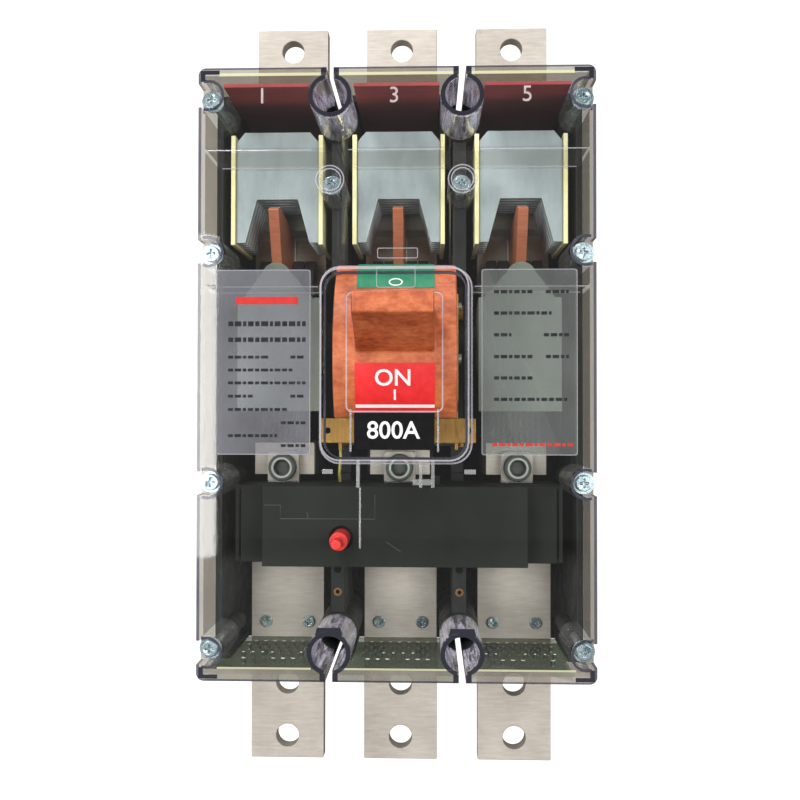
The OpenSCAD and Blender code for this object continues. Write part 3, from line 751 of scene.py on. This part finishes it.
def vent_glints():
    """Painted highlights: bright glints on the lower lips of most vents in the two rows nearest the front."""
    bm = bmesh.new()
    inside = COVER_LOW.y + WALL_THICK
    for row, x, height in vent_places():
        if row >= TALL_ROWS and round(x * 1.7) % 3:
            half = 0.6 if row == TALL_ROWS else 1.1
            tube(bm, [Vector((x - half, inside, height)), Vector((x + half, inside, height + 0.3))], 0.36, 6)
    trim("vent_glints", bm, GLINT)


def near_well(point):
    """Distance in plan from the nearest mounting well's axis."""
    return min(math.hypot(point.x - x, point.y - y) for x in DIVIDERS for y in (-WELL_Y, WELL_Y))


def cover_paint(point, normal):
    """Which of the cover's materials a face takes, from where it is and which way it looks."""
    upright = abs(normal.z) < 0.5
    column = near_well(point) < WELL_R + WELL_WALL + 0.2
    wall = WALL_THICK + 0.1
    end_wall = point.y < COVER_LOW.y + wall
    outside = abs(point.x) > COVER_HIGH.x - wall or abs(point.y) > COVER_HIGH.y - wall
    if upright:
        if column:
            return "tube"
        if end_wall and point.z < VENT_TOP:
            # the vents' inner faces take painted shade
            in_vent = abs(normal.y) < 0.5 and min(abs(point.x - x) for x in POLES) < VENT_REACH
            return "vent_rim" if in_vent else "vented"
        # the right side wall takes the darker copy of the wall: painted shade
        if point.x > COVER_HIGH.x - wall:
            return "wall_painted_shade"
        return "wall" if outside else "rib"
    if column or point.z < COVER_TOP - 1:
        return "clear"
    # thick edges along the sides: painted shade
    if abs(point.x) > COVER_HIGH.x - SIDE_LINE:
        return "edge_shade"
    # lip lines along the ends: painted highlight
    lip_low, lip_high = (LOAD_LIP if point.y < 0 else LINE_LIP)
    if lip_low < abs(point.y) < lip_high and abs(point.x) < LIP_END:
        return "lip"
    # thick edges along the ends: painted shade
    if abs(point.y) > COVER_HIGH.y - EDGE_LINE:
        return "edge_shade"
    return "rim" if point.y < -lip_high else "clear"


def cover():
    """Clear cover with its wells moulded in, cut along its rim so that the thick edges take their painted
    shade.
    """
    bm = combined(clean_mesh("clear_cover"), clean_mesh("cover_wells"), "UNION")
    bm = combined(bm, vent_cutters(), "DIFFERENCE")
    cuts = [(0, side * (COVER_HIGH.x - SIDE_LINE)) for side in SIDES]
    cuts += [(1, y) for y in LINE_LIP] + [(1, -y) for y in LOAD_LIP]
    cuts += [(1, side * (COVER_HIGH.y - EDGE_LINE)) for side in SIDES]
    cuts += [(0, side * LIP_END) for side in SIDES]
    for axis, limit in cuts:
        plane = Vector((0, 0, 0))
        plane[axis] = 1
        parts = bm.verts[:] + bm.edges[:] + bm.faces[:]
        bmesh.ops.bisect_plane(bm, geom=parts, plane_co=plane * limit, plane_no=plane)
    bm.normal_update()
    for face in bm.faces:
        face.material_index = list(COVER_MATERIALS).index(cover_paint(face.calc_center_median(), face.normal))
    piece("clear_cover_finished", bm, list(COVER_MATERIALS.values()), "root",
          ["clear_cover", "cover_wells"])


def rims():
    """Thick rounded rims of the wells, slots and screw pockets, which look dark from the front: their dark
    colour is painted shade.
    """
    bm = bmesh.new()
    for x in DIVIDERS:
        for end in SIDES:
            centre = (x, end * WELL_Y)
            start, stop = 90 * end + WELL_OPEN_DEG, 90 * end + 360 - WELL_OPEN_DEG
            outline = arc(centre, WELL_R + WELL_WALL, start, stop, 40)
            outline += arc(centre, WELL_R + 0.1, stop, start, 40)
            prism(bm, outline, COVER_TOP - SUNK, COVER_TOP + 0.5)
            for side in SIDES:
                strip_x = sorted(x + side * rim for rim in SLOT_RIM)
                strip_y = sorted((end * (WELL_Y + WELL_R + 1.5), end * (COVER_HIGH.y - 0.3)))
                block(bm, strip_x, strip_y, (COVER_TOP - SUNK, COVER_TOP + 0.4))
    trim("well_rims", bm, DARK_RIM_SHADE, 0.15)
    bm = bmesh.new()
    for low, high in islands("cover_screws"):
        centre = (low + high) / 2
        if on_side(centre):
            start = 70 if centre.x > 0 else 250
            outline = arc(centre, 8.4, start, start + 220, 24) + arc(centre, 6.9, start + 220, start, 24)
            prism(bm, outline, COVER_TOP - SUNK, COVER_TOP + 0.35)
    trim("column_rims", bm, EDGE_SHADE, 0.15)


def collars():
    """Dark blocks behind the load side wells and thick angles in the four corners of the cover, coloured dark
    as painted shade.
    """
    bm = bmesh.new()
    lift = (COVER_TOP - SUNK, COVER_TOP + 0.4)
    for x in DIVIDERS:
        corners = ((-7.4, 9.4), (7.4, 9.4), (6.2, 13.4), (-6.2, 13.4))
        prism(bm, [(x + dx, dy - WELL_Y) for dx, dy in corners], *lift)
    angle_line = [(0, 0), (10, 0), (10, 2.2), (2.4, 2.2), (2.4, 6), (0, 6)]
    for side in SIDES:
        for end in SIDES:
            x, y = side * (COVER_HIGH.x - 1.3), end * (COVER_HIGH.y - 1.3)
            prism(bm, [(x - side * dx, y - end * dy) for dx, dy in angle_line], *lift)
    trim("cover_collars", bm, DARK_RIM_SHADE, 0.15)


def numerals():
    """Raised pole numbers on the clear cover, whitish as a painted highlight."""
    for pole_x, text in zip(POLES, "135"):
        place = at(pole_x - 1, 146.5, COVER_TOP + 0.2)
        figures(text, 8.5, place, NUMERAL, "root", "pole_number_" + text, 0.4)


base()
cover()
rims()
collars()
numerals()
vent_glints()


# ---------------- screws, inserts and the yellow lead

HEAD_R = 4.3  # heads of the cover screws
INSERT_Y, PIN_Y, DIVIDER_TOP = -124, -111, 91.9
LEAD_COURSE = ((-33.4, -23.0, 98.0), (-33.6, -34.0, 98.5), (-32.8, -46.0, 98.0), (-33.8, -55.0, 96.0),
               (-34.0, -60.5, 90.0))


def washers():
    """Washers around the heads of the cover screws."""
    bm = bmesh.new()
    for low, high in islands("cover_screws"):
        centre = (low + high) / 2
        width = 1.65 if on_side(centre) else 0.95
        ring(bm, at(centre.x, centre.y), HEAD_R, HEAD_R + width, high.z - 3.4, high.z - 2.7)
    piece("washers", bm, [ZINC], "root", bevel=0.15)


def clamp_plates():
    """Tinned clamp plate around each connector screw, and the bright rim of its head."""
    plates, bright = bmesh.new(), bmesh.new()
    for low, high in islands("connector_screws"):
        place = at((low.x + high.x) / 2, (low.y + high.y) / 2)
        foot = high.z - 7.98
        holed_plate(plates, place, (-9.4, 9.4), (-8.4, 9.6), 8.1, foot, foot + 1.5)
        ring(bright, place, 5.0, 6.2, high.z - SUNK, high.z + 0.18, 40)
    piece("clamp_plates", plates, [TINNED], "root", bevel=0.3)
    piece("screw_rims", bright, [HEAD_RIM], "root", bevel=0.08)


def disc(bm, place, radius, low, high, sides):
    """Low round disc."""
    lathe(bm, [(0, low), (radius, low), (radius, high), (0, high)], place, sides)


def divider_inserts():
    """Brass insert in the front of each load side divider, with near-black discs as painted shade in its bore
    and in the pin hole.
    """
    brass, shade_discs = bmesh.new(), bmesh.new()
    for x in DIVIDERS:
        ring(brass, at(x, INSERT_Y), 1.3, 2.3, DIVIDER_TOP, DIVIDER_TOP + 0.4, 24)
        # near-black discs on the surface: painted shade of the bore and the pin hole
        disc(shade_discs, at(x, INSERT_Y), 1.2, DIVIDER_TOP, DIVIDER_TOP + 0.2, 20)
        disc(shade_discs, at(x, PIN_Y), 2.2, DIVIDER_TOP, DIVIDER_TOP + 0.15, 24)
    inserts = piece("brass_inserts", brass, [BRASS, BRASS_EDGE], "root", bevel=0.1)
    inserts.modifiers["rounding"].material = 1  # rubbed along its rounded edges
    piece("insert_hole_shade_discs", shade_discs, [SHADOW], "root")


def yellow_lead():
    """Stiff yellow lead that runs down beside the mechanism to the trip unit."""
    bm = bmesh.new()
    tube(bm, [Vector(point) for point in LEAD_COURSE], 0.85, 10)
    piece("yellow_lead", bm, [LEAD], "root")


washers()
clamp_plates()
divider_inserts()
yellow_lead()


# ---------------- handle, labels and window

HANDLE_Y, HANDLE_Z, SHIELD_R = 10.0, 97.0, 58.0
LABEL_THICK = 0.35
O_RINGS = ((3.7, 2.9), (3.0, 2.2))  # half width and height of the O's outer and inner line
DASHES = (2.6, 3.4, 1.8, 2.9, 2.2, 3.8, 1.6, 3.1)
DASH_GAP = 0.9
# each row of an information plate: y, shift from its left end, width and height
LEFT_ROWS = ((26.0, 0, 41, 2.6), (17.6, 0, 41, 2.4), (8.4, 0, 22, 1.5), (8.4, 33, 8, 1.5), (1.6, 0, 34, 1.5),
             (-5.2, 0, 41, 1.5), (-12.2, 0, 13, 1.5), (-12.2, 33, 8, 1.5), (-19.2, 0, 32, 1.5),
             (-26.2, 28, 13, 1.5), (-33.0, 0, 26, 1.5), (-38.2, 28, 13, 1.5))
RIGHT_ROWS = ((42.6, 0, 20, 1.7), (42.6, 27, 12, 1.7), (31.4, 0, 30, 1.7), (20.0, 0, 9, 1.7),
              (20.0, 26, 13, 1.7), (8.6, 0, 20, 1.7), (8.6, 27, 12, 1.7), (-2.6, 0, 20, 1.7),
              (-13.8, 0, 38, 1.7))
# courses of the painted highlight lines on the trip unit's front
HIGHLIGHT_LINES = (((-74, -72), (-64.7, -72), (-64.7, -79.5), (-12.3, -79.5), (-12.3, -66)),
              ((-50, -76), (-49.2, -79.5)), ((-6, -92), (2, -97.5)))
# reach of the cover's inner ribs: y, half gap around the window, height of the foot and bead radius
RIBS = ((119, 45, 100.2, 0.32), (46, 41.5, 112.2, 0.28))


def on_shield(angle, x, lift=0.0):
    """Place on the handle's round shield, with its y pointing up the shield."""
    turn = Matrix.Rotation(-math.radians(angle), 4, "X")
    return at(x, HANDLE_Y, HANDLE_Z) @ turn @ at(0, 0, SHIELD_R + LABEL_THICK + lift)


def shield_strip(bm, angles, x, lift, thick=0.12, steps=6):
    """Thin strip that follows the round shield between two angles."""
    rows = []
    for i in range(steps + 1):
        angle = angles[0] + (angles[1] - angles[0]) * i / steps
        rows.append([bm.verts.new(on_shield(angle, px, lift + up).translation)
                     for px, up in ((x[0], 0), (x[1], 0), (x[1], thick), (x[0], thick))])
    skin(bm, rows)
    bm.faces.new(rows[0])
    bm.faces.new(rows[-1][::-1])


def marks():
    """White marks of the two switch positions, the edge line and the rating."""
    figures("ON", 8.6, on_shield(-13.2, -0.9, 0.06), WHITE_INK, "handle", "mark_on", 0.14, 0.16)
    bm = bmesh.new()
    shield_strip(bm, (-24.6, -18.9), (-0.6, 0.5), 0)
    shield_strip(bm, (-28.9, -27.2), (-20.4, 20.4), 0)
    piece("on_marks", bm, [WHITE_INK], "handle")
    bm = bmesh.new()
    place = on_shield(40.2, 0)
    hollow_band(bm, [[bm.verts.new(place @ Vector((width * math.cos(a), height * math.sin(a), lift)))
                      for a in around(30)] for width, height in O_RINGS for lift in (0.0, 0.14)])
    piece("off_mark", bm, [WHITE_INK], "handle")
    low, high = plan_box("rating_label")
    place = at(-0.6, (low.y + high.y) / 2 + 0.2, high.z + 0.06)
    figures("800A", 8.8, place, WHITE_INK, "root", "rating_figure", 0.12, 0.14)


def window_beads():
    """Rounded beads along the window box and its opening, whitish as painted highlights where the edges catch
    the light, and dark lines on the box's walls as painted shade.
    """
    bm = bmesh.new()
    top = COVER_HIGH.z
    loop(bm, round_rectangle((-24.3, 24.3), (-20.3, 39.8), 3.0), top - 0.35, 0.45)
    loop(bm, round_rectangle((-37.4, 37.4), (-45.0, 52.8), 9.6), top - 0.6, 0.5)
    loop(bm, round_rectangle((-39.9, 39.9), (-47.4, 55.2), 10.4), COVER_TOP + 0.1, 0.5)
    trim("window_beads", bm, HIGHLIGHT_BEAD)
    # dark lines on the box's walls: painted shade
    bm = bmesh.new()
    loop(bm, round_rectangle((-36.6, 36.6), (-44.2, 52.0), 9.0), COVER_TOP + 9, 0.4)
    loop(bm, round_rectangle((-37.6, 37.6), (-45.2, 53.0), 9.4), COVER_TOP - 3, 0.5)
    trim("window_shade_lines", bm, EDGE_SHADE)


def cover_beads():
    """Rounded beads along the edges of the screw pockets and of the cover's inner ribs, whitish as painted
    highlights.
    """
    bm = bmesh.new()
    for low, high in islands("cover_screws"):
        centre = (low + high) / 2
        if not on_side(centre):
            for radius in (5.8, 7.4):
                loop(bm, arc(centre, radius, 0, 360, 32)[:-1], COVER_TOP, 0.36)
    reach = COVER_HIGH.x - WALL_THICK - 1
    for y, gap, foot, radius in RIBS:
        middle = ((-25.5, 25.5),) if y > COVER_HIGH.y / 2 else ()
        for x in ((-reach, -gap), *middle, (gap, reach)):
            for z in (foot, COVER_TOP - 3.4):
                tube(bm, [Vector((x[0], y, z)), Vector((x[1], y, z))], radius, 6)
    trim("cover_beads", bm, HIGHLIGHT_BEAD)


def trip_highlight_lines():
    """Faint raised lines along the edges and seams of the trip unit's front, lighter than the moulding as
    painted highlights.
    """
    top = plan_box("trip_cover")[1].z
    bm = bmesh.new()
    for line in HIGHLIGHT_LINES:
        tube(bm, [Vector((x, y, top)) for x, y in line], 0.16, 5)
    piece("trip_highlight_lines", bm, [EDGE_HIGHLIGHT], "root")


def printed_row(bm, x, y, width, height, z):
    """A row of plain dashes of uneven length that stands for a line of print."""
    step = 0
    end = x + width
    while x < end - 1:
        dash = min(DASHES[step % len(DASHES)], end - x)
        block(bm, (x, x + dash), (y - height / 2, y + height / 2), z)
        x += dash + DASH_GAP
        step += 1


def plate_lines():
    """Plain printed rows on the two information plates, and whitish beads round the plates as painted
    highlights on their rims.
    """
    dark, red, rim = bmesh.new(), bmesh.new(), bmesh.new()
    low, high = plan_box("info_plates")
    z = (high.z - SUNK, high.z + 0.05)
    left, right = low.x + 6.5, -low.x - 43.5
    for start, rows in ((left, LEFT_ROWS), (right, RIGHT_ROWS)):
        for y, shift, width, height in rows:
            printed_row(dark, start + shift, y, width, height, z)
    block(red, (left + 4, left + 37), (36.4, 40.2), z)
    printed_row(red, right - 1, -37.4, 42, 1.6, z)
    for side in SIDES:
        x = sorted((side * 45, side * -low.x))
        loop(rim, round_rectangle((x[0] + 0.2, x[1] - 0.2), (low.y + 0.2, high.y - 0.2), 1.5), high.z, 0.22)
    piece("plate_rows", dark, [PRINT], "root", smooth=False)
    piece("plate_red_rows", red, [RED_PRINT], "root", smooth=False)
    piece("plate_rims", rim, [HIGHLIGHT_BEAD], "root")


def window_trim():
    """Rims beside the rating label, clips under the window and ribs on the cover's front."""
    low, high = plan_box("rating_label")
    bm = bmesh.new()
    for x in (low.x - 2.2, high.x + 1.2):
        block(bm, (x, x + 1.0), (low.y - 1, high.y + 2), (high.z - 0.4, high.z + 0.9))
    foot = COVER_TOP - 0.05
    clip_z = (foot, COVER_TOP + 3.2)
    for x in ((-20.5, -18.7), (18.6, 20.4), (12.4, 14.0)):
        block(bm, x, (-60.0, -45.5), clip_z)
    block(bm, (9.0, 19.0), (-58.6, -55.6), clip_z)
    block(bm, (-19.2, -18.2), (-92.0, -60.0), (foot, COVER_TOP + 0.6))
    for x in ((-38.5, -33.0), (36.0, 42.0)):
        block(bm, x, (-53.0, -50.5), (foot, COVER_TOP + 1.2))
    trim("window_trim", bm, CLEAR_EDGE, 0.3)


def window_tab():
    """Faint outline of the sealing tab above the window and of its slot in the cover's front, drawn as
    whitish beads of painted highlight.
    """
    bm = bmesh.new()
    loop(bm, round_rectangle((-9.0, 10.4), (42.4, 52.6), 1.2), COVER_HIGH.z - 0.05, 0.2)
    loop(bm, round_rectangle((-9.6, 11.4), (60.6, 65.8), 0.8), COVER_TOP, 0.22)
    trim("window_tab", bm, HIGHLIGHT_BEAD)


marks()
plate_lines()
window_trim()
window_tab()
window_beads()
cover_beads()
trip_highlight_lines()


# ---------------- springs and braids

HOOK = 4.2  # from the end of a main spring's box to its axis
STRAP_LINE = ((5, 57.3), (-3, 56.4), (-12, 57.0), (-20, 58.3), (-28, 60.6), (-36, 63.2), (-40, 63.4))
STRAP_LANES, SPAN_STEPS = 9, 6
CLAMP_Y = -40.5  # load side of this line the straps are tinned


def springs():
    """Main springs from the knee pin up to the yoke, and the spring under the trip button."""
    low, high = plan_box("main_springs")
    bm = bmesh.new()
    for x in (-12, 12):
        start = Vector((x, high.y - HOOK, low.z + 1.2))
        end = Vector((x, low.y + HOOK, high.z - 1.2))
        coil(bm, start, end, 3.75, 0.75, 17)
    piece("main_springs_finished", bm, [BRIGHT_STEEL], BODY_OF["main_springs"], ["main_springs"])
    low, high = plan_box("trip_button_spring")
    x, y = (low.x + high.x) / 2, (low.y + high.y) / 2
    bm = bmesh.new()
    coil(bm, Vector((x, y, low.z + 0.5)), Vector((x, y, high.z - 0.5)), 4.1, 0.45, 4.5)
    spring = piece("trip_button_spring_finished", bm, [BRIGHT_STEEL], "root", ["trip_button_spring"])
    return spring, PLAN @ Vector((x, y, low.z))


def weave_strap(bm, middle, course):
    """Lanes of two wires each that swing and cross on their way along the course."""
    steps = SPAN_STEPS * (len(course) - 1)
    for lane in range(STRAP_LANES):
        for hand in SIDES:
            points = []
            for i in range(steps + 1):
                k = min(i // SPAN_STEPS, len(course) - 2)
                y, z = course[k].lerp(course[k + 1], i / SPAN_STEPS - k)
                weave = math.sin(math.pi * (i / 3 + lane)) * hand
                swing = math.sin(math.pi * (i + lane) / 3) * 0.9 * hand
                x = middle - 14 + 28 * lane / (STRAP_LANES - 1) + swing
                points.append(Vector((x, y, z + 0.8 * hand + 0.35 * weave)))
            tube(bm, points, 0.85, 6)


def braids():
    """Woven copper strap of each pole, from the clamped foot to the contact carrier."""
    low, high = plan_box("flexible_braids")
    course = [Vector(point) for point in ((high.y, 58.0), *STRAP_LINE)]
    straps = []
    for pole_x, pole in zip(POLES, POLE_NAMES):
        bm = bmesh.new()
        block(bm, (pole_x - 18, pole_x + 18), (low.y, -39.0), (60.2, 65.8))
        weave_strap(bm, pole_x, course)
        for face in bm.faces:
            face.material_index = 1 if face.calc_center_median().y < CLAMP_Y else 0
        straps.append(piece("braid_" + pole, bm, [TARNISHED, TINNED], None))
    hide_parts("flexible_braids")
    for strap in straps:
        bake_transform(strap)


button_spring, spring_foot = springs()
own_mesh(button_spring)
braids()


# ---------------- floor, light and camera

def sweep_mesh():
    """Floor that curves up into a backdrop far behind the object."""
    floor_z, top_z = -0.42, 3.0
    front_y, back_y = -2.6, 2.2
    half_x, radius = 3.4, 0.8
    profile = [(front_y, floor_z), (back_y - radius, floor_z)]
    profile += arc((back_y - radius, floor_z + radius), radius, -90, 0, 16)[1:]
    profile.append((back_y, top_z))
    bm = bmesh.new()
    rows = [[bm.verts.new((x, y, z)) for y, z in profile] for x in (-half_x, half_x)]
    for i in range(len(profile) - 1):
        bm.faces.new((rows[0][i], rows[1][i], rows[1][i + 1], rows[0][i + 1])).smooth = True
    mesh = bpy.data.meshes.new("sweep")
    bm.to_mesh(mesh)
    bm.free()
    return mesh


def stage():
    """Pale sweep that looks white and throws little light back."""
    paint = Paint("pale_sweep")
    tone = paint.ramp(paint.noise(6, 2.0), (0.3, rgb(250, 250, 250)), (0.7, rgb(254, 254, 254)))
    seen = paint.node("ShaderNodeLightPath").outputs["Is Camera Ray"]
    glow = paint.node("ShaderNodeMapRange", {"Value": seen, "To Min": 0.05, "To Max": 0.8})
    cloth = paint.mix(seen, rgb(70, 70, 70), rgb(245, 245, 245))
    paint.done(Base_Color=cloth, Roughness=0.9, Emission_Color=tone, Emission_Strength=glow.outputs[0])
    sweep = added("sweep", sweep_mesh())
    sweep.data.materials.append(paint.material)


def softbox(name, place, aim, size, power):
    """Square area light that points at a place on the object."""
    data = bpy.data.lights.new(name, "AREA")
    data.size = size
    data.energy = power
    lamp = added(name, data)
    lamp.location = place
    lamp.rotation_mode = "QUATERNION"
    lamp.rotation_quaternion = (Vector(aim) - Vector(place)).to_track_quat("-Z", "Y")


def world():
    """Dim grey surroundings that show white to the camera."""
    made = bpy.data.worlds.new("studio")
    made.use_nodes = True
    tree = made.node_tree
    ground = tree.nodes["Background"]
    ray = tree.nodes.new("ShaderNodeLightPath")
    level = tree.nodes.new("ShaderNodeMapRange")
    level.inputs["To Min"].default_value = 0.16
    level.inputs["To Max"].default_value = 1.0
    tree.links.new(ray.outputs["Is Camera Ray"], level.inputs["Value"])
    tree.links.new(level.outputs[0], ground.inputs["Strength"])
    ground.inputs["Color"].default_value = (1, 1, 1, 1)
    bpy.context.scene.world = made


def camera():
    """Hand-held view from just off the front."""
    data = bpy.data.cameras.new("camera")
    data.lens = 41.53
    data.sensor_width = 36
    eye = added("camera", data)
    eye.location = (0.01733, -0.62420, -0.02148)
    tilt, pan, roll = 0.0151, 0.0311, 0.0007
    turn = Matrix.Rotation(math.pi / 2 + tilt, 4, "X") @ Matrix.Rotation(pan, 4, "Y")
    eye.rotation_euler = (turn @ Matrix.Rotation(roll, 4, "Z")).to_euler()
    bpy.context.scene.camera = eye


stage()
world()
softbox("key", (-0.6, -1.0, 1.3), (0, 0, 0), 0.7, 20)
softbox("left_front", (-1.0, -2.0, 0.0), (0, 0, -0.04), 0.95, 25)
softbox("right_front", (1.0, -2.0, 0.05), (0, 0, -0.04), 0.95, 25)
softbox("top", (0.2, -0.3, 1.4), (0, 0, 0), 0.6, 4)
camera()
bpy.context.scene.view_settings.view_transform = "Standard"
bpy.context.scene.cycles.transparent_max_bounces = 32
